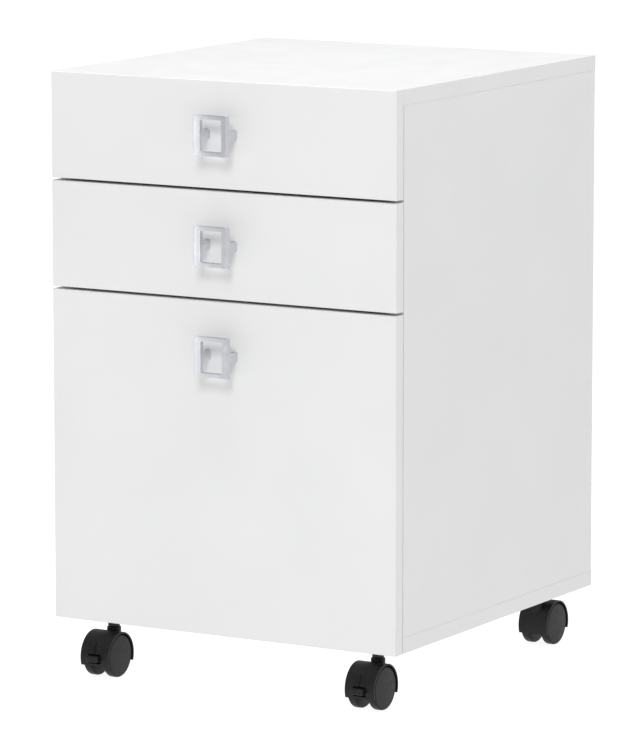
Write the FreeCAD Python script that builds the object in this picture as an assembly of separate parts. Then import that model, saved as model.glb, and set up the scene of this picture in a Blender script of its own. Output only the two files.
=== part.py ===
"""Rolling pedestal cabinet: a laminated carcass with two box drawers and a file drawer, on four casters.

Millimetres. +X is the cabinet's right side seen from the front, the drawers open towards -Y, +Z is up.
The origin is on the floor, at the middle of the whole object's footprint.
"""
import FreeCAD, Part
import math
import os

VECTOR = FreeCAD.Vector

# Whole cabinet
WIDTH = 406.4
DEPTH = 431.8            # front of the drawer fronts to the back edge of the top
BODY_HEIGHT = 571.5
CASTER_HEIGHT = 63.5

# Boards
PANEL = 16.0
FRONT_THICKNESS = 15.0
FRONT_REVEAL = 1.6       # air between a drawer front and the side and bottom panels
TOP_REVEAL = 0.2         # air between the top drawer's front and the top panel
FRONT_GAP = 2.8          # air between one drawer front and the next
FRONT_ROUND = 1.2        # along a drawer front's outer edges
BOX_FRONT_HEIGHT = 110.0
BACK_THICKNESS = 12.0
BACK_INSET = 1.0
PANEL_ROUND = 0.4
TOLERANCE = 0.01

# Drawer boxes
SIDE_THICKNESS = 12.0
SLIDE_SPACE = 12.7       # between a drawer side and the carcass
BOX_LENGTH = 385.0
BOX_DRAWER_SIDE = 76.0
FILE_DRAWER_SIDE = 257.0
BOX_DRAWER_LIFT = 8.0    # underside of a box above the underside of its front
FILE_DRAWER_LIFT = 24.5
BOTTOM_THICKNESS = 3.0
GROOVE_HEIGHT = 8.0      # underside of a drawer's bottom above the underside of its sides
GROOVE_DEPTH = 6.0

# Telescopic slides
SLIDE_LENGTH = 350.0
SLIDE_HEIGHT = 45.0
SLIDE_SHEET = 1.2
SLIDE_FLANGE = 10.0
SLIDE_STEP = 2.7         # each nested member is this much lower at the top and bottom
SLIDE_SETBACK = 2.0      # behind the carcass's front edge
SLIDE_HOLE_PLACES = (30.0, 175.0, 320.0)

# Hanging file rails
RAIL_SHEET = 1.2
RAIL_FLANGE = 15.0
RAIL_LIP = 12.0
RAIL_INSET = 2.0         # inside the outer face of a drawer side
RAIL_END_GAP = 1.0

# Ring pulls
PULL_WIDTH = 38.5
PULL_HEIGHT = 42.0
PULL_SIDE_BAR = 6.7
PULL_END_BAR = 5.0
PULL_DEPTH = 7.7         # of the ring at its two ends, where it is deepest
PULL_REACH = 22.5        # front plane to those ends
PULL_DISH_RADIUS = 50.0  # the hollow curve of the ring's face
PULL_CORNER = 1.5
PULL_WINDOW_CORNER = 1.0
PULL_EDGE_ROUND = 0.4
POST_SPACING = 32.0
POST_WIDTH = 6.0
POST_HEIGHT = 9.2
POST_CORNER = 1.2
POST_OVERLAP = 1.0       # into the ring
FOOT_LIP = 0.5           # of a post's foot, beyond the post
FOOT_THICKNESS = 1.5
PULL_DROP = 54.5         # from the top of a front to the middle of its pull

# Fasteners
PULL_SCREW_DIAMETER = 4.0
PULL_SCREW_HEAD = 8.0
PULL_SCREW_HEAD_HEIGHT = 2.2
PULL_SCREW_DEPTH = 7.0   # into a post
CAM_DIAMETER = 15.0
CAM_DISTANCE = 24.0      # from the joint to the middle of a cam
CAM_BOLT_DIAMETER = 5.0
CARCASS_CAM_DEPTH = 12.0
DRAWER_CAM_DEPTH = 9.0
BOLT_GRIP = 10.0         # length of a cam bolt inside the other board
BOLT_PAST_CAM = 4.0
DOWEL_DIAMETER = 8.0
DOWEL_HALF_LENGTH = 12.0
DRAWER_DOWEL_DIAMETER = 6.0
DRAWER_DOWEL_LENGTH = 30.0
FILE_BOLT_INSET = 45.0   # a file drawer's cam bolts from the top and bottom of its sides
BOX_BOLT_DROP = 22.0     # a box drawer's cam bolt below the top of its side
BOX_DOWEL_LIFT = 28.0
JOINT_INSET = 60.0       # carcass cams from the front and back ends of a side panel
DOWEL_INSET = 110.0
WOOD_SCREW_DIAMETER = 3.6
WOOD_SCREW_HEAD = 7.0
BACK_SCREW_LENGTH = 35.0
BACK_SCREW_INSET = 70.0
BOX_SCREW_LENGTH = 32.0
BOX_SCREW_INSET = 20.0
SLIDE_SCREW_LENGTH = 11.0
SLIDE_SCREW_HEAD_HEIGHT = 1.2

# Casters
STEM_INSET_SIDE = 44.5
STEM_INSET_FRONT = 44.0
STEM_INSET_BACK = 39.0
CASTER_TRAIL = 13.7
WHEEL_RADIUS = 22.5
WHEEL_INNER = 7.0        # from the caster's middle plane
WHEEL_OUTER = 17.2
WHEEL_ROUND = 2.2
AXLE_RADIUS = 2.5
AXLE_HALF = 14.2
AXLE_SOCKET = 14.7
RUNNING_CLEARANCE = 0.05
HOOD_RADIUS = 25.3
HOOD_INNER_RADIUS = 23.5
HOOD_HALF = 17.0
HOOD_FRONT_ANGLE = -19.0  # ends of the hood's arc, from the level, at the far side from the stem
HOOD_REAR_ANGLE = 200.0
WEB_HALF = 6.2
WEB_INSET = 0.5          # the web's rim below the hood's surface
WEB_BOTTOM = 14.5
HUB_RADIUS = 9.0
COLLAR_RADIUS = 7.4
COLLAR_TOP = 50.7
COLLAR_CHAMFER = 1.0
BOSS_RADIUS = 6.5        # of the round boss between the wheels, under the collar
BOSS_TOP = 45.0
PIN_RADIUS = 3.5
PIN_BOTTOM = 26.0
PIN_GAP = 0.3
NECK_RADIUS = 5.0
HEX_BOTTOM = 52.0
HEX_ACROSS_CORNERS = 13.9
FLANGE_RADIUS = 13.0
FLANGE_HEIGHT = 2.0
THREAD_RADIUS = 5.0
THREAD_END_GAP = 1.0     # below the closed end of its insert nut
INSERT_RADIUS = 7.0
INSERT_HEIGHT = 14.0

# Brake lever, measured from the stem along the caster
LEVER_PIVOT = 30.0
LEVER_PIVOT_HEIGHT = 22.0
LEVER_PIN_RADIUS = 1.2
LEVER_PIN_HALF = 5.0
LEVER_PIN_PLAY = 0.3
LEVER_ARM_HALF = 2.8
LEVER_ARM_BEHIND = 2.5   # the arm's length behind the middle of its pin
LEVER_ARM_STEP = 0.5     # the arm is this much thinner than the tab, above and below
LEVER_TAB_HALF = 6.9
LEVER_TAB_START = 37.6
LEVER_TAB_END = 44.6
LEVER_TAB_BOTTOM = 19.4
LEVER_TAB_TOP = 25.6
LEVER_TAB_ROUND = 1.0
SLOT_HALF = 3.3
SLOT_START = 26.0
NOTCH_HALF = 7.5
NOTCH_START = 35.0
NOTCH_BOTTOM = 16.8
NOTCH_TOP = 27.0
GROOVE_HALF = 0.6        # of the moulded line above the notch
GROOVE_SINK = 0.8
GROOVE_TOP = 38.0

# Places that follow from the sizes above
HEIGHT = BODY_HEIGHT + CASTER_HEIGHT
HALF_WIDTH = WIDTH / 2
FRONT_Y = -(DEPTH - PULL_REACH) / 2
BACK_Y = FRONT_Y + DEPTH
FRONT_REAR_Y = FRONT_Y + FRONT_THICKNESS
CARCASS_Y = FRONT_REAR_Y + FRONT_REVEAL
BACK_PANEL_Y = BACK_Y - BACK_INSET - BACK_THICKNESS
SIDE_BOTTOM = CASTER_HEIGHT + PANEL
SIDE_TOP = HEIGHT - PANEL
SIDE_INNER = HALF_WIDTH - PANEL
BOX_OUTER = SIDE_INNER - SLIDE_SPACE
BOX_INNER = BOX_OUTER - SIDE_THICKNESS
BOX_END_Y = FRONT_REAR_Y + BOX_LENGTH
SLIDE_Y = CARCASS_Y + SLIDE_SETBACK
STEM_X = HALF_WIDTH - STEM_INSET_SIDE
TOP_FRONT = (HEIGHT - BOX_FRONT_HEIGHT, HEIGHT)
MIDDLE_FRONT = (TOP_FRONT[0] - FRONT_GAP - BOX_FRONT_HEIGHT, TOP_FRONT[0] - FRONT_GAP)
FILE_FRONT = (CASTER_HEIGHT, MIDDLE_FRONT[0] - FRONT_GAP)

# name, front (bottom, top), lift of the box, height of its sides, height of the slides above its underside
DRAWERS = (
    ("top_drawer", TOP_FRONT, BOX_DRAWER_LIFT, BOX_DRAWER_SIDE, 38.0),
    ("middle_drawer", MIDDLE_FRONT, BOX_DRAWER_LIFT, BOX_DRAWER_SIDE, 38.0),
    ("file_drawer", FILE_FRONT, FILE_DRAWER_LIFT, FILE_DRAWER_SIDE, 110.0),
)

# name, side (-1 left, +1 right), direction of the trail (-1 front, +1 back), has a brake
CASTERS = (
    ("front_left", -1, -1, True),
    ("front_right", 1, -1, True),
    ("rear_left", -1, 1, False),
    ("rear_right", 1, 1, False),
)


# ---- helpers ----

def block(x, y, z):
    """A box from three (low, high) pairs."""
    return Part.makeBox(x[1] - x[0], y[1] - y[0], z[1] - z[0], VECTOR(x[0], y[0], z[0]))


def rod(radius, start, direction, length):
    return Part.makeCylinder(radius, length, VECTOR(*start), VECTOR(*direction))


def fused(shapes):
    return shapes[0].multiFuse(shapes[1:]).removeSplitter()


def group(shapes):
    return Part.makeCompound(shapes)


def mirrored(shape):
    """The same shape on the other side of the cabinet."""
    return shape.mirror(VECTOR(0, 0, 0), VECTOR(1, 0, 0))


def both_sides(shapes):
    return shapes + [mirrored(shape) for shape in shapes]


def rounded_board(x, y, z, radius):
    board = block(x, y, z)
    return board.makeFillet(radius, board.Edges)


def pocketed(board, inserts):
    """A board with a pocket of the exact shape of each thing that sits in it."""
    return board.cut(group(inserts)) if inserts else board


def countersunk_screw(tip, direction, length):
    """A wood screw whose flat head ends flush, from its tip back along direction."""
    shank = rod(WOOD_SCREW_DIAMETER / 2, tip, direction, length)
    head_height = (WOOD_SCREW_HEAD - WOOD_SCREW_DIAMETER) / 2
    base = VECTOR(*tip) + VECTOR(*direction) * (length - head_height)
    head = Part.makeCone(WOOD_SCREW_DIAMETER / 2, WOOD_SCREW_HEAD / 2, head_height, base, VECTOR(*direction))
    return fused([shank, head])


def export(shape, node):
    shape.exportStep("parts/" + node + ".step")


# ---- carcass ----

def carcass_joint_places():
    """Distances along Y of the cams and of the dowels in each side panel."""
    cams = (CARCASS_Y + JOINT_INSET, BACK_PANEL_Y - JOINT_INSET)
    dowels = (CARCASS_Y + DOWEL_INSET, BACK_PANEL_Y - DOWEL_INSET)
    return cams, dowels


def carcass_cam_bolts():
    """Upright bolts from the top and bottom panels into the right side panel's cams."""
    bolts = []
    x = HALF_WIDTH - PANEL / 2
    length = BOLT_GRIP + CAM_DISTANCE + BOLT_PAST_CAM
    for y in carcass_joint_places()[0]:
        bolts.append(rod(CAM_BOLT_DIAMETER / 2, (x, y, SIDE_TOP + BOLT_GRIP), (0, 0, -1), length))
        bolts.append(rod(CAM_BOLT_DIAMETER / 2, (x, y, SIDE_BOTTOM - BOLT_GRIP), (0, 0, 1), length))
    return bolts


def carcass_cam_locks(bolts):
    locks = []
    for y in carcass_joint_places()[0]:
        for z in (SIDE_TOP - CAM_DISTANCE, SIDE_BOTTOM + CAM_DISTANCE):
            lock = rod(CAM_DIAMETER / 2, (SIDE_INNER, y, z), (1, 0, 0), CARCASS_CAM_DEPTH)
            locks.append(lock.cut(group(bolts)))
    return locks


def carcass_dowels():
    dowels = []
    x = HALF_WIDTH - PANEL / 2
    for y in carcass_joint_places()[1]:
        for z in (SIDE_TOP, SIDE_BOTTOM):
            dowel = rod(DOWEL_DIAMETER / 2, (x, y, z - DOWEL_HALF_LENGTH), (0, 0, 1), 2 * DOWEL_HALF_LENGTH)
            dowels.append(dowel)
    return dowels


def back_panel_screws():
    screws = []
    x = HALF_WIDTH - PANEL / 2
    rear = BACK_Y - BACK_INSET
    middle = (SIDE_BOTTOM + SIDE_TOP) / 2
    for z in (SIDE_BOTTOM + BACK_SCREW_INSET, middle, SIDE_TOP - BACK_SCREW_INSET):
        screws.append(countersunk_screw((x, rear - BACK_SCREW_LENGTH, z), (0, 1, 0), BACK_SCREW_LENGTH))
    return screws


def export_carcass():
    bolts = both_sides(carcass_cam_bolts())
    locks = both_sides(carcass_cam_locks(carcass_cam_bolts()))
    dowels = both_sides(carcass_dowels())
    screws = both_sides(back_panel_screws())
    inserts = [insert_nut_envelope(x, y) for x, y, _ in stem_places()]
    slide_screws = both_sides([screw for drawer in DRAWERS for screw in cabinet_slide_screws(drawer)])
    across = (-HALF_WIDTH, HALF_WIDTH)
    top = rounded_board(across, (FRONT_REAR_Y + TOP_REVEAL, BACK_Y), (SIDE_TOP, HEIGHT), PANEL_ROUND)
    bottom = rounded_board(across, (CARCASS_Y, BACK_Y), (CASTER_HEIGHT, SIDE_BOTTOM), PANEL_ROUND)
    side_y = (CARCASS_Y, BACK_PANEL_Y)
    right = rounded_board((SIDE_INNER, HALF_WIDTH), side_y, (SIDE_BOTTOM, SIDE_TOP), PANEL_ROUND)
    back_y = (BACK_PANEL_Y, BACK_PANEL_Y + BACK_THICKNESS)
    back = rounded_board(across, back_y, (SIDE_BOTTOM, SIDE_TOP), PANEL_ROUND)
    side_hardware = bolts + locks + dowels + screws + slide_screws
    export(pocketed(top, bolts + dowels), "top_panel")
    export(pocketed(bottom, bolts + dowels + inserts), "bottom_panel")
    export(pocketed(mirrored(right), side_hardware), "left_side_panel")
    export(pocketed(right, side_hardware), "right_side_panel")
    export(pocketed(back, screws), "back_panel")
    export(group(locks), "cam_locks")
    export(group(bolts), "cam_bolts")
    export(group(dowels), "dowels")
    export(group(screws), "back_panel_screws")
    export(group(slide_screws), "slide_screws")


# ---- slides ----

def channel(web_x, flange_x, half_height, z, y):
    """A folded channel along Y: its web stands at web_x and its flanges reach to flange_x."""
    low, high = sorted((web_x, flange_x))
    outer = block((low, high), y, (z - half_height, z + half_height))
    inner_low = low + SLIDE_SHEET if web_x < flange_x else low - SLIDE_SHEET
    inner_high = high + SLIDE_SHEET if web_x < flange_x else high - SLIDE_SHEET
    inner_z = (z - half_height + SLIDE_SHEET, z + half_height - SLIDE_SHEET)
    return outer.cut(block((inner_low, inner_high), y, inner_z))


def slide_height(drawer):
    _, front, lift, _, slide_above = drawer
    return front[0] + lift + slide_above


def slide_span():
    return (SLIDE_Y, SLIDE_Y + SLIDE_LENGTH)


def cabinet_slide_screws(drawer):
    """Pan-head screws that hold the right-hand cabinet channel to its side panel."""
    screws = []
    web_face = SIDE_INNER - SLIDE_SHEET
    for place in SLIDE_HOLE_PLACES:
        y = SLIDE_Y + place
        z = slide_height(drawer)
        shank = rod(WOOD_SCREW_DIAMETER / 2, (web_face, y, z), (1, 0, 0), SLIDE_SCREW_LENGTH)
        head = rod(WOOD_SCREW_HEAD / 2, (web_face, y, z), (-1, 0, 0), SLIDE_SCREW_HEAD_HEIGHT)
        screws.append(fused([shank, head]))
    return screws


def cabinet_channel(drawer):
    z = slide_height(drawer)
    member = channel(SIDE_INNER, SIDE_INNER - SLIDE_FLANGE, SLIDE_HEIGHT / 2, z, slide_span())
    return member.cut(group(cabinet_slide_screws(drawer)))


def intermediate_channel(drawer):
    """The middle member: nested in the cabinet channel, open towards the drawer."""
    web_x = SIDE_INNER - SLIDE_SHEET - SLIDE_STEP + SLIDE_SHEET / 2
    flange_x = SIDE_INNER - SLIDE_FLANGE
    return channel(web_x, flange_x, SLIDE_HEIGHT / 2 - SLIDE_STEP, slide_height(drawer), slide_span())


def drawer_channel(drawer):
    """The inner member: fixed to the drawer side, open towards the carcass."""
    flange_x = BOX_OUTER + SLIDE_FLANGE - SLIDE_STEP
    return channel(BOX_OUTER, flange_x, SLIDE_HEIGHT / 2 - 2 * SLIDE_STEP, slide_height(drawer), slide_span())


def drawer_slide_screws(drawer):
    """Short pan-head screws that hold the inner member to the right-hand drawer side."""
    screws = []
    z = slide_height(drawer)
    web_face = BOX_OUTER + SLIDE_SHEET
    for place in SLIDE_HOLE_PLACES:
        y = SLIDE_Y + place
        shank = rod(WOOD_SCREW_DIAMETER / 2, (web_face, y, z), (-1, 0, 0), SLIDE_SCREW_LENGTH)
        head = rod(WOOD_SCREW_HEAD / 2, (web_face, y, z), (1, 0, 0), SLIDE_SCREW_HEAD_HEIGHT)
        screws.append(fused([shank, head]))
    return screws


def export_slides():
    channels = [cabinet_channel(drawer) for drawer in DRAWERS]
    export(group(both_sides(channels)), "cabinet_slide_channels")
    for drawer in DRAWERS:
        export(group(both_sides([intermediate_channel(drawer)])), drawer[0] + "_slide_intermediates")


# ---- pulls ----

def rounded_rectangle(width, height, corner, y, z, depth):
    """A plate centred on x = 0 and the given z, from y along +Y, with round upright corners."""
    plate = block((-width / 2, width / 2), (y, y + depth), (z - height / 2, z + height / 2))
    corners = [edge for edge in plate.Edges if abs(edge.tangentAt(edge.FirstParameter).y) > 0.9]
    return plate.makeFillet(corner, corners)


def pull_ring(z):
    """A square ring with a flat back, and a face hollowed about an upright axis in front of it."""
    face_y = FRONT_Y - PULL_REACH
    outer = rounded_rectangle(PULL_WIDTH, PULL_HEIGHT, PULL_CORNER, face_y, z, PULL_DEPTH)
    window_width = PULL_WIDTH - 2 * PULL_SIDE_BAR
    window_height = PULL_HEIGHT - 2 * PULL_END_BAR
    window = rounded_rectangle(window_width, window_height, PULL_WINDOW_CORNER, face_y, z, PULL_DEPTH)
    axis_gap = math.sqrt(PULL_DISH_RADIUS ** 2 - (PULL_WIDTH / 2) ** 2)
    dish = rod(PULL_DISH_RADIUS, (0, face_y - axis_gap, z - PULL_HEIGHT), (0, 0, 1), 2 * PULL_HEIGHT)
    ring = outer.cut(dish).cut(window)
    return ring.makeFillet(PULL_EDGE_ROUND, ring.Edges)


def pull_post(x, z):
    """A rectangular post with a thin foot against the drawer front."""
    length = PULL_REACH - PULL_DEPTH + POST_OVERLAP
    post = rounded_rectangle(POST_WIDTH, POST_HEIGHT, POST_CORNER, FRONT_Y - length, z, length)
    foot_width = POST_WIDTH + 2 * FOOT_LIP
    foot_height = POST_HEIGHT + 2 * FOOT_LIP
    foot = rounded_rectangle(foot_width, foot_height, POST_CORNER, FRONT_Y - FOOT_THICKNESS, z, FOOT_THICKNESS)
    whole = fused([post, foot])
    whole.translate(VECTOR(x, 0, 0))
    return whole


def pull_screws(z):
    """Machine screws from inside the drawer, through the front and into the posts."""
    screws = []
    for x in (-POST_SPACING / 2, POST_SPACING / 2):
        length = FRONT_THICKNESS + PULL_SCREW_DEPTH
        shank = rod(PULL_SCREW_DIAMETER / 2, (x, FRONT_REAR_Y, z), (0, -1, 0), length)
        head = rod(PULL_SCREW_HEAD / 2, (x, FRONT_REAR_Y, z), (0, 1, 0), PULL_SCREW_HEAD_HEIGHT)
        screws.append(fused([shank, head]))
    return screws


def pull(z):
    """The ring cast in one piece with its two posts."""
    posts = [pull_post(x, z) for x in (-POST_SPACING / 2, POST_SPACING / 2)]
    return fused([pull_ring(z)] + posts).cut(group(pull_screws(z)))


# ---- drawers ----

def drawer_joint_heights(bottom, side_height):
    """Heights of the cam bolts, and of the dowel between or above them, at a drawer's front corners."""
    if side_height > 2 * BOX_DRAWER_SIDE:
        bolts = (bottom + FILE_BOLT_INSET, bottom + side_height - FILE_BOLT_INSET)
        return bolts, (bottom + side_height / 2,)
    return (bottom + side_height - BOX_BOLT_DROP,), (bottom + BOX_DOWEL_LIFT,)


def drawer_cam_bolts(heights):
    x = BOX_OUTER - SIDE_THICKNESS / 2
    length = BOLT_GRIP + CAM_DISTANCE + BOLT_PAST_CAM
    start = FRONT_REAR_Y - BOLT_GRIP
    return [rod(CAM_BOLT_DIAMETER / 2, (x, start, z), (0, 1, 0), length) for z in heights]


def drawer_cam_locks(heights, bolts):
    locks = []
    for z in heights:
        start = (BOX_INNER, FRONT_REAR_Y + CAM_DISTANCE, z)
        locks.append(rod(CAM_DIAMETER / 2, start, (1, 0, 0), DRAWER_CAM_DEPTH).cut(group(bolts)))
    return locks


def drawer_dowels(heights):
    x = BOX_OUTER - SIDE_THICKNESS / 2
    start = FRONT_REAR_Y - BOLT_GRIP
    radius = DRAWER_DOWEL_DIAMETER / 2
    return [rod(radius, (x, start, z), (0, 1, 0), DRAWER_DOWEL_LENGTH) for z in heights]


def drawer_back_screws(bottom, side_height):
    screws = []
    y = BOX_END_Y - SIDE_THICKNESS / 2
    for z in (bottom + BOX_SCREW_INSET, bottom + side_height - BOX_SCREW_INSET):
        tip = (BOX_OUTER - BOX_SCREW_LENGTH, y, z)
        screws.append(countersunk_screw(tip, (1, 0, 0), BOX_SCREW_LENGTH))
    return screws


def drawer_front(z):
    """A front with round outer edges and barely eased rear ones."""
    board = block((-HALF_WIDTH, HALF_WIDTH), (FRONT_Y, FRONT_REAR_Y), z)
    outer = [edge for edge in board.Edges if edge.BoundBox.YMax < FRONT_Y + TOLERANCE]
    board = board.makeFillet(FRONT_ROUND, outer)
    rear = [edge for edge in board.Edges if edge.BoundBox.YMin > FRONT_REAR_Y - TOLERANCE]
    return board.makeFillet(PANEL_ROUND, rear)


def export_drawer(drawer):
    name, front_z, lift, side_height, _ = drawer
    bottom = front_z[0] + lift
    pull_z = front_z[1] - PULL_DROP
    bolt_heights, dowel_heights = drawer_joint_heights(bottom, side_height)
    bolts = drawer_cam_bolts(bolt_heights)
    corner_hardware = bolts + drawer_cam_locks(bolt_heights, bolts) + drawer_dowels(dowel_heights)
    side_screws = drawer_back_screws(bottom, side_height) + drawer_slide_screws(drawer)
    fasteners = both_sides(corner_hardware + side_screws) + pull_screws(pull_z)

    floor_z = (bottom + GROOVE_HEIGHT, bottom + GROOVE_HEIGHT + BOTTOM_THICKNESS)
    floor_x = BOX_INNER + GROOVE_DEPTH
    floor_y = (FRONT_REAR_Y - GROOVE_DEPTH, BOX_END_Y - SIDE_THICKNESS + GROOVE_DEPTH)
    floor = block((-floor_x, floor_x), floor_y, floor_z)

    box_z = (bottom, bottom + side_height)
    side = rounded_board((BOX_INNER, BOX_OUTER), (FRONT_REAR_Y, BOX_END_Y), box_z, PANEL_ROUND)
    back_y = (BOX_END_Y - SIDE_THICKNESS, BOX_END_Y)
    back = rounded_board((-BOX_INNER, BOX_INNER), back_y, box_z, PANEL_ROUND)
    members = both_sides([drawer_channel(drawer).cut(group(drawer_slide_screws(drawer)))])

    export(pocketed(drawer_front(front_z), fasteners + [floor]), name + "_front")
    export(pocketed(mirrored(side), fasteners + [floor]), name + "_left_side")
    export(pocketed(side, fasteners + [floor]), name + "_right_side")
    export(pocketed(back, fasteners + [floor]), name + "_back")
    export(floor, name + "_bottom")
    export(pull(pull_z), name + "_pull")
    export(group(fasteners), name + "_fasteners")
    export(group(members), name + "_slide_members")


def export_hanging_rails():
    """Two angle strips on top of the file drawer's sides, for hanging folders."""
    _, front_z, lift, side_height, _ = DRAWERS[2]
    seat = front_z[0] + lift + side_height
    span = (FRONT_REAR_Y + RAIL_END_GAP, BOX_END_Y - RAIL_END_GAP)
    lip_x = BOX_OUTER - RAIL_FLANGE - RAIL_INSET
    flange = block((lip_x, lip_x + RAIL_FLANGE), span, (seat, seat + RAIL_SHEET))
    lip = block((lip_x, lip_x + RAIL_SHEET), span, (seat, seat + RAIL_LIP))
    export(group(both_sides([fused([flange, lip])])), "file_drawer_hanging_rails")


# ---- casters ----
# A caster is drawn about its stem's axis, with its wheels trailing towards +Y, then turned and moved.

def stem_places():
    """x, y and trail direction of each caster's stem."""
    places = []
    for _, side, trail, _ in CASTERS:
        y = FRONT_Y + STEM_INSET_FRONT if trail < 0 else BACK_Y - STEM_INSET_BACK
        places.append((side * STEM_X, y, trail))
    return places


def placed(shape, place):
    x, y, trail = place
    moved = shape.copy()
    if trail < 0:
        moved.rotate(VECTOR(0, 0, 0), VECTOR(0, 0, 1), 180)
    moved.translate(VECTOR(x, y, 0))
    return moved


def caster_stem():
    """Lower pin, neck, hexagon, flange and threaded stud, turned as one piece."""
    pin = rod(PIN_RADIUS, (0, 0, PIN_BOTTOM), (0, 0, 1), COLLAR_TOP + PIN_GAP - PIN_BOTTOM)
    neck = rod(NECK_RADIUS, (0, 0, COLLAR_TOP + PIN_GAP), (0, 0, 1), HEX_BOTTOM - COLLAR_TOP - PIN_GAP)
    flange_z = CASTER_HEIGHT - FLANGE_HEIGHT
    corners = []
    for step in range(7):
        angle = math.radians(60 * step)
        corners.append(VECTOR(math.cos(angle), math.sin(angle), 0) * (HEX_ACROSS_CORNERS / 2))
    hexagon = Part.Face(Part.makePolygon(corners)).extrude(VECTOR(0, 0, flange_z - HEX_BOTTOM))
    hexagon.translate(VECTOR(0, 0, HEX_BOTTOM))
    flange = rod(FLANGE_RADIUS, (0, 0, flange_z), (0, 0, 1), FLANGE_HEIGHT)
    thread = rod(THREAD_RADIUS, (0, 0, CASTER_HEIGHT), (0, 0, 1), INSERT_HEIGHT - THREAD_END_GAP)
    return fused([pin, neck, hexagon, flange, thread])


def insert_nut_envelope(x, y):
    return rod(INSERT_RADIUS, (x, y, CASTER_HEIGHT), (0, 0, 1), INSERT_HEIGHT)


def wheel():
    """The right-hand wheel: round shoulders, and a blind axle socket inside."""
    middle = (WHEEL_INNER, CASTER_TRAIL, WHEEL_RADIUS)
    body = rod(WHEEL_RADIUS, middle, (1, 0, 0), WHEEL_OUTER - WHEEL_INNER)
    rims = [edge for edge in body.Edges if edge.Curve.TypeId == "Part::GeomCircle"]
    body = body.makeFillet(WHEEL_ROUND, rims)
    socket = rod(AXLE_RADIUS + RUNNING_CLEARANCE, middle, (1, 0, 0), AXLE_SOCKET - WHEEL_INNER)
    return body.cut(socket)


def axle():
    return rod(AXLE_RADIUS, (-AXLE_HALF, CASTER_TRAIL, WHEEL_RADIUS), (1, 0, 0), 2 * AXLE_HALF)


def hood_arc():
    """The fender: part of a tube about the axle, open downwards."""
    width = 2 * HOOD_HALF
    sweep = HOOD_REAR_ANGLE - HOOD_FRONT_ANGLE
    centre = VECTOR(-HOOD_HALF, CASTER_TRAIL, WHEEL_RADIUS)
    outer = Part.makeCylinder(HOOD_RADIUS, width, centre, VECTOR(1, 0, 0), sweep)
    outer.rotate(centre, VECTOR(1, 0, 0), hood_start_turn(outer, centre))
    inner = rod(HOOD_INNER_RADIUS, (-HOOD_HALF, CASTER_TRAIL, WHEEL_RADIUS), (1, 0, 0), width)
    return outer.cut(inner)


def hood_start_turn(sector, centre):
    """The turn about the axle that brings the sector's middle to face straight up."""
    middle = sector.CenterOfMass - centre
    up = 90.0 + (HOOD_FRONT_ANGLE + HOOD_REAR_ANGLE - 180.0) / 2
    return up - math.degrees(math.atan2(middle.z, middle.y))


def hood_web():
    """The solid middle of the hood, between the wheels, with the swivel collar and its boss."""
    width = 2 * WEB_HALF
    disc = rod(HOOD_RADIUS - WEB_INSET, (-WEB_HALF, CASTER_TRAIL, WHEEL_RADIUS), (1, 0, 0), width)
    along = (CASTER_TRAIL - HOOD_RADIUS, CASTER_TRAIL + HOOD_RADIUS)
    keep = block((-WEB_HALF, WEB_HALF), along, (WEB_BOTTOM, WHEEL_RADIUS + HOOD_RADIUS))
    hub = rod(HUB_RADIUS, (-WEB_HALF, CASTER_TRAIL, WHEEL_RADIUS), (1, 0, 0), width)
    boss = rod(BOSS_RADIUS, (0, 0, WHEEL_RADIUS), (0, 0, 1), BOSS_TOP - WHEEL_RADIUS)
    return fused([disc.common(keep), hub, boss, hood_collar()])


def hood_collar():
    """The swivel collar, from its chamfered top down to the inside of the fender."""
    collar = rod(COLLAR_RADIUS, (0, 0, WHEEL_RADIUS), (0, 0, 1), COLLAR_TOP - WHEEL_RADIUS)
    top_edge = [edge for edge in collar.Edges if edge.BoundBox.ZMin > COLLAR_TOP - TOLERANCE]
    room = rod(HOOD_INNER_RADIUS, (-COLLAR_RADIUS, CASTER_TRAIL, WHEEL_RADIUS), (1, 0, 0), 2 * COLLAR_RADIUS)
    return collar.makeChamfer(COLLAR_CHAMFER, top_edge).cut(room)


def moulded_groove():
    """A shallow upright line in the hood's surface, above the brake lever's notch."""
    core = rod(HOOD_RADIUS - GROOVE_SINK, (-WEB_HALF, CASTER_TRAIL, WHEEL_RADIUS), (1, 0, 0), 2 * WEB_HALF)
    blade = block((-GROOVE_HALF, GROOVE_HALF), (LEVER_PIVOT, LEVER_TAB_END), (NOTCH_TOP, GROOVE_TOP))
    return blade.cut(core)


def brake_cutouts():
    """The slot for the lever's arm, the notch for its tab, a groove above it and the hole for its pin."""
    slot = block((-SLOT_HALF, SLOT_HALF), (SLOT_START, LEVER_TAB_END), (NOTCH_BOTTOM, NOTCH_TOP))
    notch = block((-NOTCH_HALF, NOTCH_HALF), (NOTCH_START, LEVER_TAB_END), (NOTCH_BOTTOM, NOTCH_TOP))
    pin_half = LEVER_PIN_HALF + LEVER_PIN_PLAY
    start = (-pin_half, LEVER_PIVOT, LEVER_PIVOT_HEIGHT)
    pin_hole = rod(LEVER_PIN_RADIUS + RUNNING_CLEARANCE, start, (1, 0, 0), 2 * pin_half)
    return [slot, notch, moulded_groove(), pin_hole]


def hood(has_brake):
    bore_bottom = PIN_BOTTOM - PIN_GAP
    bore = rod(PIN_RADIUS + RUNNING_CLEARANCE, (0, 0, bore_bottom), (0, 0, 1), COLLAR_TOP - bore_bottom)
    cuts = [bore, axle()]
    if has_brake:
        cuts += brake_cutouts()
    return fused([hood_arc(), hood_web()]).cut(group(cuts))


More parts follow.
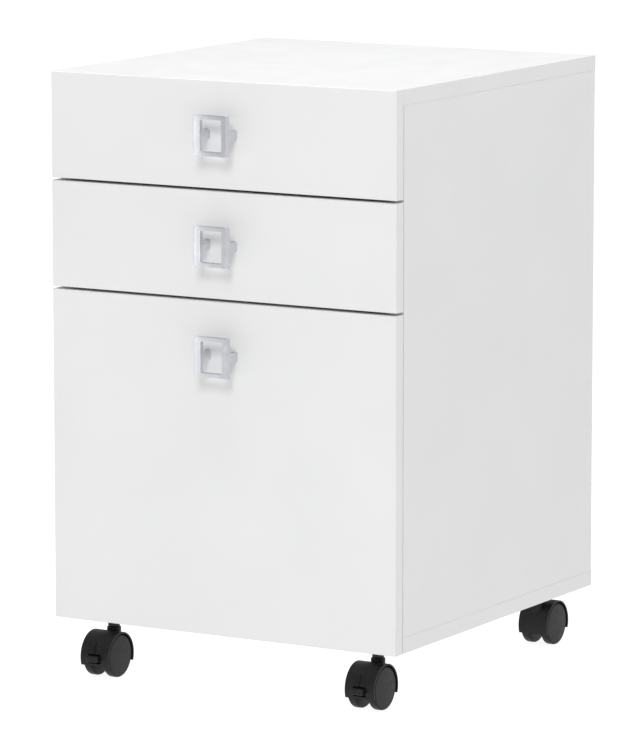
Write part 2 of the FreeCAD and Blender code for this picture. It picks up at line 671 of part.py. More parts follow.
def brake_lever():
    """A foot tab on an arm, with a cross pin that turns in the hood."""
    arm_y = (LEVER_PIVOT - LEVER_ARM_BEHIND, LEVER_TAB_START + LEVER_TAB_ROUND)
    arm_z = (LEVER_TAB_BOTTOM + LEVER_ARM_STEP, LEVER_TAB_TOP - LEVER_ARM_STEP)
    arm = block((-LEVER_ARM_HALF, LEVER_ARM_HALF), arm_y, arm_z)
    tab_x = (-LEVER_TAB_HALF, LEVER_TAB_HALF)
    tab_y = (LEVER_TAB_START, LEVER_TAB_END)
    tab = rounded_board(tab_x, tab_y, (LEVER_TAB_BOTTOM, LEVER_TAB_TOP), LEVER_TAB_ROUND)
    start = (-LEVER_PIN_HALF, LEVER_PIVOT, LEVER_PIVOT_HEIGHT)
    pin = rod(LEVER_PIN_RADIUS, start, (1, 0, 0), 2 * LEVER_PIN_HALF)
    return fused([arm, tab, pin])


def export_casters():
    places = stem_places()
    stems = [placed(caster_stem(), place) for place in places]
    nuts = [insert_nut_envelope(x, y).cut(group(stems)) for x, y, _ in places]
    export(group(stems), "caster_stems")
    export(group(nuts), "caster_insert_nuts")
    for (name, _, trail, has_brake), place in zip(CASTERS, places):
        right = wheel()
        left = mirrored(right)
        if trail < 0:
            right, left = left, right
        export(placed(hood(has_brake), place), name + "_caster_hood")
        export(placed(axle(), place), name + "_caster_axle")
        export(placed(left, place), name + "_caster_left_wheel")
        export(placed(right, place), name + "_caster_right_wheel")
        if has_brake:
            export(placed(brake_lever(), place), name + "_caster_brake_lever")


os.makedirs("parts", exist_ok=True)
export_carcass()
export_slides()
for each_drawer in DRAWERS:
    export_drawer(each_drawer)
export_hanging_rails()
export_casters()
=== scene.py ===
import math

import bmesh
import bpy
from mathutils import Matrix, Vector


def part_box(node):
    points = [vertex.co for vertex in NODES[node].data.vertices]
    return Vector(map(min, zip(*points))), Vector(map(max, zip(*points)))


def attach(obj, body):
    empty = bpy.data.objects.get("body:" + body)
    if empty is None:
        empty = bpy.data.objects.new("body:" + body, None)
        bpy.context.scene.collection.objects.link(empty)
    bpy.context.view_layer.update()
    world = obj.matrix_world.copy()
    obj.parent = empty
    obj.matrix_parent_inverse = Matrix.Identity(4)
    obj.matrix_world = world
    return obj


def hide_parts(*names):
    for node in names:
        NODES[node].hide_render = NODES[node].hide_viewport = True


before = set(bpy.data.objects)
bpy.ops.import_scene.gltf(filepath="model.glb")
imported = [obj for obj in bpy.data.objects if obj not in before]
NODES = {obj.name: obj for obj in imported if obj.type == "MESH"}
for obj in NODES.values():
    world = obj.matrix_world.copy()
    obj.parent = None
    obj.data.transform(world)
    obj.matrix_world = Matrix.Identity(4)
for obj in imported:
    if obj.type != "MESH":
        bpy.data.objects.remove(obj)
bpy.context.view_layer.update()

# Looks of the rolling pedestal cabinet. Metres, in the CAD model's own frame.
MM = 0.001
DRAWERS = ("top_drawer", "middle_drawer", "file_drawer")
CASTERS = ("front_left", "front_right", "rear_left", "rear_right")

# Camera: a long lens, well away from the cabinet, turned 30 degrees to its right side
LENS = 252.24
SENSOR = 36.0
CAMERA_PLACE = (2.7297, -4.7233, 1.1626)
CAMERA_TURN = math.radians(30.0311)
CAMERA_DIP = math.radians(8.9145)

# Stage: the backdrop reads as white paper, but gives the cabinet a softer light than it shows the camera
FLOOR_RADIUS = 60.0
FLOOR_DROP = 0.2 * MM
FLOOR_GREY = 0.25
FLOOR_SEEN = 0.92
FLOOR_FELT = 0.8
DIM_FLOOR_FELT = 0.56     # on the left, which gives the metal its darker side
DIM_SPAN = (-3.6, -1.6)   # the floor's glow rises from dim to full over this stretch of x
SKY_SEEN = 1.0
SKY = 0.4
LIGHTS = (
    # name, place, target, size, power in watts
    ("top", (0.2, 0, 3.2), (0, 0, 0.6), 2.2, 62),
    ("key", (1.6, -4.6, 4.0), (0.1, -0.1, 0.4), 2.2, 107),
    ("near", (0.5, -1.9, 0.45), (0.1, -0.2, 0.35), 0.9, 1.5),
    ("back", (2.6, 3.6, 0.8), (0.2, 0, 0.35), 1.6, 4),
)


# ---- node graphs ----

class Graph:
    """A material's node tree, with short calls for the nodes that these materials use."""

    def __init__(self, name):
        self.material = bpy.data.materials.new(name)
        self.material.use_nodes = True
        self.tree = self.material.node_tree
        self.shader = self.tree.nodes["Principled BSDF"]
        self.place = self.tree.nodes.new("ShaderNodeTexCoord").outputs["Object"]

    def feed(self, socket, value):
        """Links a socket's source, or sets a plain value on it."""
        if isinstance(value, bpy.types.NodeSocket):
            self.tree.links.new(value, socket)
        else:
            socket.default_value = value

    def math(self, operation, first, second=0.0, clamp=False):
        node = self.tree.nodes.new("ShaderNodeMath")
        node.operation = operation
        node.use_clamp = clamp
        self.feed(node.inputs[0], first)
        self.feed(node.inputs[1], second)
        return node.outputs[0]

    def stretched(self, scale):
        node = self.tree.nodes.new("ShaderNodeMapping")
        node.inputs["Scale"].default_value = scale
        self.tree.links.new(self.place, node.inputs["Vector"])
        return node.outputs["Vector"]

    def noise(self, scale, detail=2.0, stretch=(1, 1, 1), rough=0.5):
        """Noise from 0 to 1, with scale in features per metre."""
        node = self.tree.nodes.new("ShaderNodeTexNoise")
        node.inputs["Scale"].default_value = scale
        node.inputs["Detail"].default_value = detail
        node.inputs["Roughness"].default_value = rough
        self.tree.links.new(self.stretched(stretch), node.inputs["Vector"])
        return node.outputs["Fac"]

    def cells(self, scale):
        node = self.tree.nodes.new("ShaderNodeTexVoronoi")
        node.inputs["Scale"].default_value = scale
        self.tree.links.new(self.place, node.inputs["Vector"])
        return node.outputs["Distance"]

    def span(self, value, low, high, to_low=0.0, to_high=1.0):
        """value rescaled from low..high to to_low..to_high, and held there."""
        node = self.tree.nodes.new("ShaderNodeMapRange")
        self.tree.links.new(value, node.inputs["Value"])
        for name, number in (("From Min", low), ("From Max", high), ("To Min", to_low), ("To Max", to_high)):
            node.inputs[name].default_value = number
        return node.outputs["Result"]

    def mix(self, factor, first, second):
        """A colour from first at 0 to second at 1."""
        node = self.tree.nodes.new("ShaderNodeMix")
        node.data_type = "RGBA"
        self.feed(node.inputs[0], factor)
        self.feed(node.inputs[6], first if isinstance(first, bpy.types.NodeSocket) else (*first, 1))
        self.feed(node.inputs[7], second if isinstance(second, bpy.types.NodeSocket) else (*second, 1))
        return node.outputs[2]

    def axes(self):
        node = self.tree.nodes.new("ShaderNodeSeparateXYZ")
        self.tree.links.new(self.place, node.inputs[0])
        return [node.outputs[i] for i in range(3)]

    def edge_gaps(self, low, high):
        """A point's distance inside each pair of a box's faces, and its distance from the nearest edge."""
        gaps = []
        for axis, coordinate in enumerate(self.axes()):
            middle = (low[axis] + high[axis]) / 2
            half = (high[axis] - low[axis]) / 2
            offset = self.math("ABSOLUTE", self.math("SUBTRACT", coordinate, middle))
            gaps.append(self.math("SUBTRACT", half, offset))
        smaller = self.math("MINIMUM", gaps[0], gaps[1])
        larger = self.math("MAXIMUM", gaps[0], gaps[1])
        edge = self.math("MAXIMUM", smaller, self.math("MINIMUM", larger, gaps[2]))
        return gaps, edge

    def bump(self, height, distance, strength=1.0, under=None):
        node = self.tree.nodes.new("ShaderNodeBump")
        node.inputs["Distance"].default_value = distance
        node.inputs["Strength"].default_value = strength
        self.tree.links.new(height, node.inputs["Height"])
        if under is not None:
            self.tree.links.new(under, node.inputs["Normal"])
        return node.outputs["Normal"]

    def finish(self, colour, roughness, normal=None, **fixed):
        """Connects the varying inputs, and sets the fixed ones on the shader itself."""
        self.feed(self.shader.inputs["Base Color"], colour)
        self.feed(self.shader.inputs["Roughness"], roughness)
        if normal is not None:
            self.tree.links.new(normal, self.shader.inputs["Normal"])
        for name, value in fixed.items():
            self.shader.inputs[name.replace("_", " ")].default_value = value
        return self.material


def dress(piece, material):
    piece.data.materials.clear()
    piece.data.materials.append(material)


# ---- materials ----

SKIN = 0.3 * MM             # a point this close to a board's face counts as on it
BAND_THICKNESS = 1.0 * MM
BAND_JOINT = 0.14 * MM      # half-width of the line where a band meets the laminate
HANDLED_EDGE = 0.9 * MM
WORN_EDGE = 1.2 * MM


def laminate(node, thin_axis):
    """White melamine on a board: fine texture, faint mottling, banded edges and lightly handled corners."""
    graph = Graph("laminate_" + node)
    low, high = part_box(node)
    gaps, edge = graph.edge_gaps(low, high)
    clouds = graph.noise(9, 3)
    specks = graph.noise(1300, 2)
    tone = graph.mix(graph.span(clouds, 0.3, 0.7), (0.800, 0.802, 0.806), (0.822, 0.823, 0.825))
    tone = graph.mix(graph.span(specks, 0.62, 0.75, 0.0, 0.25), tone, (0.760, 0.762, 0.768))
    on_face = graph.math("LESS_THAN", gaps[thin_axis], SKIN)
    from_joint = graph.math("ABSOLUTE", graph.math("SUBTRACT", edge, BAND_THICKNESS))
    band = graph.span(from_joint, 0.0, BAND_JOINT, 1.0, 0.0)
    band = graph.math("MULTIPLY", band, on_face)
    tone = graph.mix(graph.math("MULTIPLY", band, 0.16), tone, (0.42, 0.41, 0.40))
    handled = graph.span(edge, 0.0, HANDLED_EDGE, 1.0, 0.0)
    handled = graph.math("MULTIPLY", handled, graph.span(graph.noise(160, 4), 0.5, 0.68))
    tone = graph.mix(graph.math("MULTIPLY", handled, 0.12), tone, (0.60, 0.585, 0.56))
    roughness = graph.math("ADD", graph.span(graph.noise(35, 3), 0.3, 0.7, 0.36, 0.43),
                           graph.math("MULTIPLY", handled, 0.12))
    normal = graph.bump(graph.noise(420, 3), 0.05 * MM, 0.35)
    normal = graph.bump(graph.cells(2300), 0.02 * MM, 0.5, normal)
    normal = graph.bump(graph.math("SUBTRACT", 1.0, band), 0.05 * MM, 0.5, normal)
    return graph.finish(tone, roughness, normal, IOR=1.5)


def foil(node):
    """Matt white foil on a drawer's side or back, with a faint drawn grain along it."""
    graph = Graph("foil_" + node)
    low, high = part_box(node)
    edge = graph.edge_gaps(low, high)[1]
    along = 0 if high[0] - low[0] > high[1] - low[1] else 1
    stretch = [1.0, 1.0, 1.0]
    stretch[along] = 0.03
    grain = graph.noise(900, 3, stretch)
    tone = graph.mix(graph.span(grain, 0.35, 0.65), (0.745, 0.742, 0.732), (0.785, 0.783, 0.775))
    near_edge = graph.span(edge, 0.0, WORN_EDGE, 1.0, 0.0)
    worn = graph.math("MULTIPLY", near_edge, graph.span(graph.noise(200, 4), 0.45, 0.7))
    tone = graph.mix(graph.math("MULTIPLY", worn, 0.35), tone, (0.55, 0.52, 0.47))
    roughness = graph.span(graph.noise(60, 3), 0.3, 0.7, 0.48, 0.58)
    return graph.finish(tone, roughness, graph.bump(grain, 0.04 * MM, 0.5), IOR=1.47)


def hardboard():
    """White-faced hardboard: smooth, with tiny pits and soft mottling."""
    graph = Graph("hardboard")
    mottle = graph.noise(45, 4)
    tone = graph.mix(graph.span(mottle, 0.3, 0.7), (0.70, 0.695, 0.68), (0.75, 0.745, 0.735))
    pits = graph.span(graph.noise(1500, 1), 0.66, 0.74)
    tone = graph.mix(graph.math("MULTIPLY", pits, 0.4), tone, (0.45, 0.42, 0.38))
    roughness = graph.span(mottle, 0.3, 0.7, 0.42, 0.55)
    normal = graph.bump(graph.math("SUBTRACT", 1.0, pits), 0.04 * MM, 0.6)
    return graph.finish(tone, roughness, normal, IOR=1.47)


def rolled_steel():
    """Zinc-plated rolled sheet: lines from rolling, a soft spangle and a few dull, greasy patches."""
    graph = Graph("rolled_steel")
    lines = graph.noise(2600, 3, (1, 0.012, 1))
    spangle = graph.cells(140)
    grease = graph.span(graph.noise(28, 4), 0.52, 0.66)
    tone = graph.mix(graph.span(spangle, 0.1, 0.6), (0.56, 0.57, 0.59), (0.68, 0.69, 0.71))
    tone = graph.mix(graph.math("MULTIPLY", grease, 0.3), tone, (0.36, 0.36, 0.35))
    roughness = graph.math("ADD", graph.span(lines, 0.3, 0.7, 0.26, 0.40),
                           graph.math("MULTIPLY", grease, 0.12))
    return graph.finish(tone, roughness, graph.bump(lines, 0.02 * MM, 0.5), Metallic=1.0)


def plated_steel():
    """Bright zinc on screws and axles, slightly yellowed, with turned rings too fine to see apart."""
    graph = Graph("plated_steel")
    stain = graph.noise(500, 4)
    tone = graph.mix(graph.span(stain, 0.35, 0.7), (0.62, 0.63, 0.65), (0.50, 0.49, 0.46))
    roughness = graph.span(graph.noise(1200, 3), 0.3, 0.7, 0.24, 0.42)
    return graph.finish(tone, roughness, graph.bump(graph.noise(2400, 2), 0.02 * MM, 0.5), Metallic=1.0)


def satin_nickel():
    """Satin nickel on a casting: upright brushing under the plating, and brighter rubbed patches."""
    graph = Graph("satin_nickel")
    brushing = graph.noise(3200, 3, (1, 1, 0.03))
    rubbed = graph.span(graph.noise(90, 4), 0.5, 0.7)
    tone = graph.mix(rubbed, (0.66, 0.67, 0.71), (0.72, 0.73, 0.76))
    roughness = graph.math("SUBTRACT", graph.span(brushing, 0.3, 0.7, 0.26, 0.36),
                           graph.math("MULTIPLY", rubbed, 0.05))
    normal = graph.bump(graph.noise(240, 2), 0.03 * MM, 0.3)
    normal = graph.bump(brushing, 0.012 * MM, 0.5, normal)
    return graph.finish(tone, roughness, normal, Metallic=1.0)


def aluminium():
    """Mill-finish aluminium strip, with drawing lines along it."""
    graph = Graph("aluminium")
    lines = graph.noise(2200, 3, (1, 0.01, 1))
    tone = graph.mix(graph.span(lines, 0.3, 0.7), (0.70, 0.71, 0.72), (0.80, 0.81, 0.82))
    roughness = graph.span(lines, 0.3, 0.7, 0.28, 0.42)
    return graph.finish(tone, roughness, graph.bump(lines, 0.02 * MM, 0.5), Metallic=1.0)


def black_nylon(name, scuffs):
    """Moulded black nylon with a spark-eroded texture, and pale dust and rubbing as strong as scuffs."""
    graph = Graph(name)
    texture = graph.noise(1700, 3)
    dust = graph.span(graph.noise(130, 5), 0.5, 0.72)
    tone = graph.mix(graph.span(texture, 0.3, 0.7), (0.005, 0.005, 0.0055), (0.010, 0.010, 0.0105))
    tone = graph.mix(graph.math("MULTIPLY", dust, scuffs), tone, (0.05, 0.049, 0.047))
    roughness = graph.math("ADD", graph.span(graph.noise(300, 3), 0.3, 0.7, 0.40, 0.50),
                           graph.math("MULTIPLY", dust, 0.12))
    normal = graph.bump(texture, 0.05 * MM, 0.45)
    return graph.finish(tone, roughness, normal, Specular_IOR_Level=0.28)


def black_steel():
    """Steel with a satin black finish, rubbed a little brighter in patches."""
    graph = Graph("black_steel")
    rubbed = graph.span(graph.noise(260, 4), 0.52, 0.7)
    tone = graph.mix(rubbed, (0.012, 0.012, 0.013), (0.035, 0.035, 0.037))
    roughness = graph.span(graph.noise(900, 3), 0.3, 0.7, 0.32, 0.46)
    normal = graph.bump(graph.noise(1500, 2), 0.03 * MM, 0.4)
    return graph.finish(tone, roughness, normal, Specular_IOR_Level=0.4)


def beech():
    """Plain beech with its grain upright."""
    graph = Graph("beech")
    grain = graph.noise(700, 4, (1, 1, 0.06))
    tone = graph.mix(graph.span(grain, 0.3, 0.7), (0.52, 0.34, 0.19), (0.66, 0.47, 0.29))
    roughness = graph.span(grain, 0.3, 0.7, 0.5, 0.65)
    return graph.finish(tone, roughness, graph.bump(grain, 0.05 * MM, 0.5), IOR=1.5)


# ---- meshes ----

def make_piece(name, bm, body, material, node=None, sharp=35.0):
    """Turns a bmesh into a piece that rides on a body, in place of a CAD node if one is named."""
    mesh = bpy.data.meshes.new(name)
    bmesh.ops.recalc_face_normals(bm, faces=bm.faces)
    bm.to_mesh(mesh)
    bm.free()
    smooth_shaded(mesh, sharp)
    piece = bpy.data.objects.new(name, mesh)
    bpy.context.scene.collection.objects.link(piece)
    dress(piece, material)
    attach(piece, body)
    if node:
        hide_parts(node)
    return piece


def smooth_shaded(mesh, sharp):
    mesh.polygons.foreach_set("use_smooth", [True] * len(mesh.polygons))
    mesh.set_sharp_from_angle(angle=math.radians(sharp))


def bevelled(piece, width, segments=3, angle=30.0):
    """A small round on every edge sharper than angle, with the flat faces kept flat."""
    bevel = piece.modifiers.new("edge_round", "BEVEL")
    bevel.width = width
    bevel.segments = segments
    bevel.limit_method = "ANGLE"
    bevel.angle_limit = math.radians(angle)
    bevel.harden_normals = True
    return piece


def lathe(bm, profile, centre, axis, segments=96):
    """Turns (distance along axis, radius) points about an axis through centre, and closes both ends."""
    turn = Vector((0, 0, 1)).rotation_difference(Vector(axis)).to_matrix()
    rings = []
    for along, radius in profile:
        if radius < 1e-7:
            rings.append([bm.verts.new(Vector(centre) + turn @ Vector((0, 0, along)))])
            continue
        ring = []
        for step in range(segments):
            angle = 2 * math.pi * step / segments
            point = Vector((radius * math.cos(angle), radius * math.sin(angle), along))
            ring.append(bm.verts.new(Vector(centre) + turn @ point))
        rings.append(ring)
    for first, second in zip(rings, rings[1:]):
        count = max(len(first), len(second))
        for step in range(count):
            after = (step + 1) % count
            corners = [first[step % len(first)], first[after % len(first)],
                       second[after % len(second)], second[step % len(second)]]
            bm.faces.new(list(dict.fromkeys(corners)))
    for ring in (rings[0], rings[-1]):
        if len(ring) > 1:
            bm.faces.new(ring)


# ---- casters ----

WHEEL_SHOULDER = 2.3 * MM
FACE_CROWN = 0.7 * MM
SOCKET_DEPTH = 7.7 * MM
SOCKET_RADIUS = 2.55 * MM
SOCKET_LEAD = 0.4 * MM
DIMPLE_RADIUS = 1.0 * MM
DIMPLE_FLOOR_RADIUS = 0.6 * MM
DIMPLE_DEPTH = 0.2 * MM
ROUND_STEPS = 8
FACE_STEPS = 12


def rounded_corner(along, radius, turn, first, last):
    """Points of a round of the given radius about (along, radius), from one angle to the other."""
    points = []
    for step in range(ROUND_STEPS + 1):
        angle = math.radians(first + (last - first) * step / ROUND_STEPS)
        points.append((along + turn * math.sin(angle), radius + turn * math.cos(angle)))
    return points


def wheel_profile(radius, width):
    """From the bottom of the axle's socket, out over the tread, to the middle of the domed face."""
    socket = [(SOCKET_DEPTH, 0.0), (SOCKET_DEPTH, SOCKET_RADIUS), (SOCKET_LEAD, SOCKET_RADIUS),
              (0.0, SOCKET_RADIUS + SOCKET_LEAD)]
    inner_shoulder = rounded_corner(WHEEL_SHOULDER, radius - WHEEL_SHOULDER, WHEEL_SHOULDER, -90, 0)
    outer_along = width - FACE_CROWN - WHEEL_SHOULDER
    outer_shoulder = rounded_corner(outer_along, radius - WHEEL_SHOULDER, WHEEL_SHOULDER, 0, 90)
    face = []
    for step in range(1, FACE_STEPS):
        share = 1 - step / FACE_STEPS
        face.append((width - FACE_CROWN * share ** 2, (radius - WHEEL_SHOULDER) * share))
    dimple_floor = width - DIMPLE_DEPTH
    dimple = [(width, DIMPLE_RADIUS), (dimple_floor, DIMPLE_FLOOR_RADIUS), (dimple_floor, 0.0)]
    return socket + inner_shoulder + outer_shoulder + face + dimple


def add_wheel(caster, side, material):
    node = f"{caster}_caster_{side}_wheel"
    low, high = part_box(node)
    hood_low, hood_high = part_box(f"{caster}_caster_hood")
    middle = (low + high) / 2
    outward = 1 if middle.x > (hood_low.x + hood_high.x) / 2 else -1
    inner_face = low.x if outward > 0 else high.x
    bm = bmesh.new()
    profile = wheel_profile((high.z - low.z) / 2, high.x - low.x)
    lathe(bm, profile, (inner_face, middle.y, middle.z), (outward, 0, 0))
    return make_piece(f"{caster}_{side}_wheel_detail", bm, node, material, node, sharp=40)


# ---- ring pulls ----

PULL_WIDTH = 38.5 * MM
PULL_HEIGHT = 42.0 * MM
PULL_SIDE_BAR = 6.7 * MM
PULL_END_BAR = 5.0 * MM
PULL_DEPTH = 7.7 * MM
PULL_DISH_RADIUS = 50.0 * MM
PULL_CORNER = 1.5 * MM
PULL_WINDOW_CORNER = 1.0 * MM
PULL_EDGE_ROUND = 0.4 * MM
POST_SPACING = 32.0 * MM
POST_WIDTH = 6.0 * MM
POST_HEIGHT = 9.2 * MM
POST_CORNER = 1.2 * MM
POST_OVERLAP = 1.0 * MM
FOOT_LIP = 0.5 * MM
FOOT_THICKNESS = 1.5 * MM
FOOT_ROUND = 0.3 * MM
CORNER_STEPS = 6
BAR_STEPS = 14
EDGE_STEPS = 4
ACROSS_STEPS = 6


def rounded_loop(half_width, half_height, corner):
    """Points round a rectangle with round corners, evenly stepped along its sides, from its lower right."""
    points = []
    corners = ((1, -1, -90), (1, 1, 0), (-1, 1, 90), (-1, -1, 180))
    for index, (side, end, start) in enumerate(corners):
        centre = Vector((side * (half_width - corner), end * (half_height - corner)))
        for step in range(CORNER_STEPS + 1):
            angle = math.radians(start + 90 * step / CORNER_STEPS)
            points.append(centre + corner * Vector((math.cos(angle), math.sin(angle))))
        next_side, next_end, next_start = corners[(index + 1) % 4]
        next_centre = Vector((next_side * (half_width - corner), next_end * (half_height - corner)))
        first_angle = math.radians(next_start)
        goal = next_centre + corner * Vector((math.cos(first_angle), math.sin(first_angle)))
        last = points[-1].copy()
        for step in range(1, BAR_STEPS):
            points.append(last.lerp(goal, step / BAR_STEPS))
    return points


def join_loops(bm, first, second):
    for step in range(len(first)):
        after = (step + 1) % len(first)
        bm.faces.new((first[step], first[after], second[after], second[step]))


def edge_round():
    """(inset from the side, depth below the face) of a round edge, from the side to the face."""
    steps = []
    for step in range(EDGE_STEPS + 1):
        angle = math.radians(90 * step / EDGE_STEPS)
        steps.append((PULL_EDGE_ROUND * (1 - math.cos(angle)), PULL_EDGE_ROUND * (1 - math.sin(angle))))
    return steps


def hollow(x, half_width):
    """How far the ring's dished face lies behind its two ends, at x."""
    return math.sqrt(PULL_DISH_RADIUS ** 2 - x ** 2) - math.sqrt(PULL_DISH_RADIUS ** 2 - half_width ** 2)


def ring_loops(half_width, half_height):
    """Loops of (x, depth behind the ends, z), from the outer rear edge, over the face, into the window."""

    def outer(inset):
        return rounded_loop(half_width - inset, half_height - inset, PULL_CORNER - inset)

    def window(inset):
        width = half_width - PULL_SIDE_BAR + inset
        return rounded_loop(width, half_height - PULL_END_BAR + inset, PULL_WINDOW_CORNER + inset)

    def on_face(outline, depth=0.0):
        return [(p.x, hollow(p.x, half_width) + depth, p.y) for p in outline]

    def on_back(outline, depth):
        return [(p.x, PULL_DEPTH - depth, p.y) for p in outline]

    from_side = edge_round()
    from_face = from_side[::-1]
    rim, brink = outer(PULL_EDGE_ROUND), window(PULL_EDGE_ROUND)
    loops = [on_back(outer(inset), depth) for inset, depth in from_face]
    loops += [on_face(outer(inset), depth) for inset, depth in from_side]
    for step in range(1, ACROSS_STEPS):
        loops.append(on_face([p.lerp(q, step / ACROSS_STEPS) for p, q in zip(rim, brink)]))
    loops += [on_face(window(inset), depth) for inset, depth in from_face]
    loops += [on_back(window(inset), depth) for inset, depth in from_side]
    return loops


def add_pull_ring(drawer, material):
    """The square ring, with a flat back and a face dished about an upright axis."""
    node = drawer + "_pull"
    low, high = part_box(node)
    centre = (low + high) / 2
    bm = bmesh.new()
    loops = []
    for places in ring_loops(PULL_WIDTH / 2, PULL_HEIGHT / 2):
        loops.append([bm.verts.new((centre.x + x, low.y + depth, centre.z + z)) for x, depth, z in places])
    for first, second in zip(loops, loops[1:] + loops[:1]):
        join_loops(bm, first, second)
    return make_piece(drawer + "_pull_ring", bm, drawer, material, node, sharp=30)


def add_pull_posts(drawer, material):
    """Two rectangular posts, each with a thin foot against the drawer front."""
    low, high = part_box(drawer + "_pull")
    centre = (low + high) / 2
    length = high.y - low.y - PULL_DEPTH + POST_OVERLAP
    steps = ((0.0, FOOT_LIP), (FOOT_THICKNESS - FOOT_ROUND, FOOT_LIP),
             (FOOT_THICKNESS, FOOT_LIP - FOOT_ROUND), (FOOT_THICKNESS, 0.0), (length, 0.0))
    bm = bmesh.new()
    for side in (-1, 1):
        middle_x = centre.x + side * POST_SPACING / 2
        loops = []
        for along, lip in steps:
            outline = rounded_loop(POST_WIDTH / 2 + lip, POST_HEIGHT / 2 + lip, POST_CORNER + lip)
            loops.append([bm.verts.new((middle_x + p.x, high.y - along, centre.z + p.y)) for p in outline])
        for first, second in zip(loops, loops[1:]):
            join_loops(bm, first, second)
        bm.faces.new(loops[0])
        bm.faces.new(loops[-1])
    return make_piece(drawer + "_pull_posts", bm, drawer, material, sharp=30)


# ---- dressing the CAD nodes ----

def thin_axis(node):
    low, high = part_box(node)
    sizes = [high[i] - low[i] for i in range(3)]
    return sizes.index(min(sizes))


def dress_boards():
    for node in NODES:
        if node.endswith("_panel") or node.endswith("_front"):
            dress(NODES[node], laminate(node, thin_axis(node)))
        elif node.endswith(("_left_side", "_right_side", "_drawer_back")):
            dress(NODES[node], foil(node))
    board = hardboard()
    for drawer in DRAWERS:
        dress(NODES[drawer + "_bottom"], board)


def dress_metal():
    steel = rolled_steel()
    plated = plated_steel()
    for node in NODES:
        if node.endswith(("_slide_channels", "_slide_members", "_slide_intermediates")):
            dress(NODES[node], steel)
        elif node.endswith(("_fasteners", "_screws", "_axle", "_locks", "_bolts", "_nuts")):
            dress(NODES[node], plated)
    dress(NODES["caster_stems"], black_steel())
    dress(NODES["file_drawer_hanging_rails"], aluminium())
    dress(NODES["dowels"], beech())


def dress_casters():
    hood = black_nylon("hood_nylon", 0.12)
    tread = black_nylon("wheel_nylon", 0.25)
    for caster in CASTERS:
        dress(NODES[caster + "_caster_hood"], hood)
        bevelled(NODES[caster + "_caster_hood"], 0.35 * MM, 2)
        for side in ("left", "right"):
            add_wheel(caster, side, tread)
        lever = NODES.get(caster + "_caster_brake_lever")
        if lever:
            dress(lever, hood)


# ---- stage ----

def seen_and_felt(tree, seen, felt):
    """One shader for what the camera sees of the backdrop, and another for the light it gives."""
    ray = tree.nodes.new("ShaderNodeLightPath")
    choice = tree.nodes.new("ShaderNodeMixShader")
    tree.links.new(ray.outputs["Is Camera Ray"], choice.inputs[0])
    tree.links.new(felt, choice.inputs[1])
    tree.links.new(seen, choice.inputs[2])
    return choice.outputs[0]


def paper(tree, glow):
    """Matt paper that gives off an even glow."""
    shader = tree.nodes.new("ShaderNodeBsdfPrincipled")
    shader.inputs["Base Color"].default_value = (FLOOR_GREY, FLOOR_GREY, FLOOR_GREY, 1)
    shader.inputs["Roughness"].default_value = 1.0
    shader.inputs["Emission Color"].default_value = (1, 1, 1, 1)
    shader.inputs["Emission Strength"].default_value = glow
    return shader


def dimmed_to_the_left(tree, paper_shader):
    """Makes the paper's glow weaker on the left, where x is low."""
    place = tree.nodes.new("ShaderNodeTexCoord")
    axes = tree.nodes.new("ShaderNodeSeparateXYZ")
    tree.links.new(place.outputs["Object"], axes.inputs[0])
    glow = tree.nodes.new("ShaderNodeMapRange")
    tree.links.new(axes.outputs["X"], glow.inputs["Value"])
    limits = (("From Min", DIM_SPAN[0]), ("From Max", DIM_SPAN[1]),
              ("To Min", DIM_FLOOR_FELT), ("To Max", FLOOR_FELT))
    for name, number in limits:
        glow.inputs[name].default_value = number
    tree.links.new(glow.outputs["Result"], paper_shader.inputs["Emission Strength"])


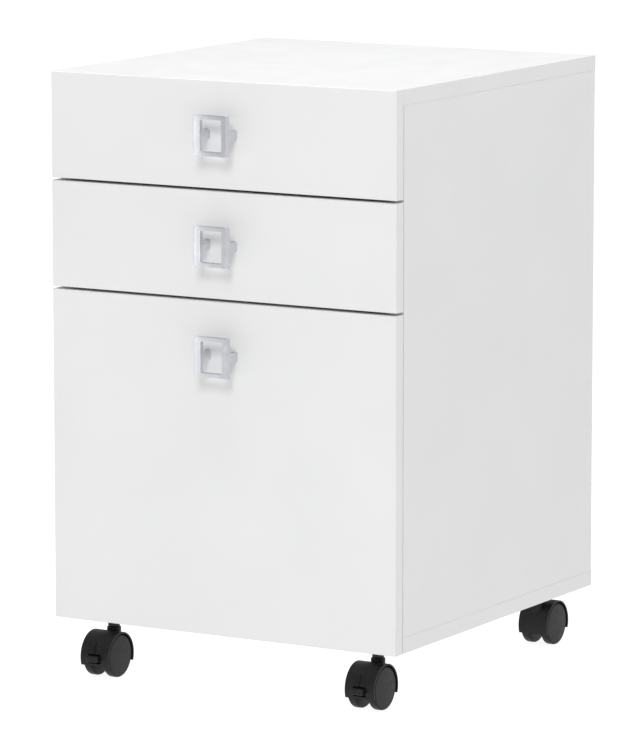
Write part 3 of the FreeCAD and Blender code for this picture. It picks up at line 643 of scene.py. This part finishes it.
def add_floor():
    """A pale seamless floor."""
    bm = bmesh.new()
    bmesh.ops.create_circle(bm, cap_ends=True, segments=64, radius=FLOOR_RADIUS)
    mesh = bpy.data.meshes.new("floor")
    bm.to_mesh(mesh)
    bm.free()
    floor = bpy.data.objects.new("floor", mesh)
    floor.location.z = -FLOOR_DROP
    bpy.context.scene.collection.objects.link(floor)
    material = bpy.data.materials.new("floor_paper")
    material.use_nodes = True
    tree = material.node_tree
    output = tree.nodes["Material Output"]
    tree.nodes.remove(tree.nodes["Principled BSDF"])
    seen = paper(tree, FLOOR_SEEN)
    felt = paper(tree, FLOOR_FELT)
    dimmed_to_the_left(tree, felt)
    surface = seen_and_felt(tree, seen.outputs[0], felt.outputs[0])
    tree.links.new(surface, output.inputs["Surface"])
    dress(floor, material)


def add_light(name, place, target, size, power):
    light = bpy.data.lights.new(name, "AREA")
    light.shape = "DISK"
    light.size = size
    light.energy = power
    lamp = bpy.data.objects.new(name, light)
    lamp.location = place
    lamp.rotation_euler = (Vector(target) - Vector(place)).to_track_quat("-Z", "Y").to_euler()
    bpy.context.scene.collection.objects.link(lamp)


def add_sky():
    world = bpy.data.worlds.new("studio")
    world.use_nodes = True
    tree = world.node_tree
    felt = tree.nodes["Background"]
    felt.inputs["Color"].default_value = (1, 1, 1, 1)
    felt.inputs["Strength"].default_value = SKY
    seen = tree.nodes.new("ShaderNodeBackground")
    seen.inputs["Color"].default_value = (1, 1, 1, 1)
    seen.inputs["Strength"].default_value = SKY_SEEN
    surface = seen_and_felt(tree, seen.outputs[0], felt.outputs[0])
    tree.links.new(surface, tree.nodes["World Output"].inputs["Surface"])
    bpy.context.scene.world = world


def add_camera():
    camera = bpy.data.cameras.new("camera")
    camera.sensor_width = SENSOR
    camera.lens = LENS
    camera.clip_end = 200
    viewer = bpy.data.objects.new("camera", camera)
    viewer.location = CAMERA_PLACE
    viewer.rotation_euler = (math.pi / 2 - CAMERA_DIP, 0, CAMERA_TURN)
    bpy.context.scene.collection.objects.link(viewer)
    bpy.context.scene.camera = viewer


# ---- the whole scene ----

dress_boards()
dress_metal()
dress_casters()
nickel = satin_nickel()
for drawer_name in DRAWERS:
    add_pull_ring(drawer_name, nickel)
    add_pull_posts(drawer_name, nickel)

add_floor()
add_sky()
for settings in LIGHTS:
    add_light(*settings)
add_camera()
bpy.context.scene.view_settings.view_transform = "Standard"
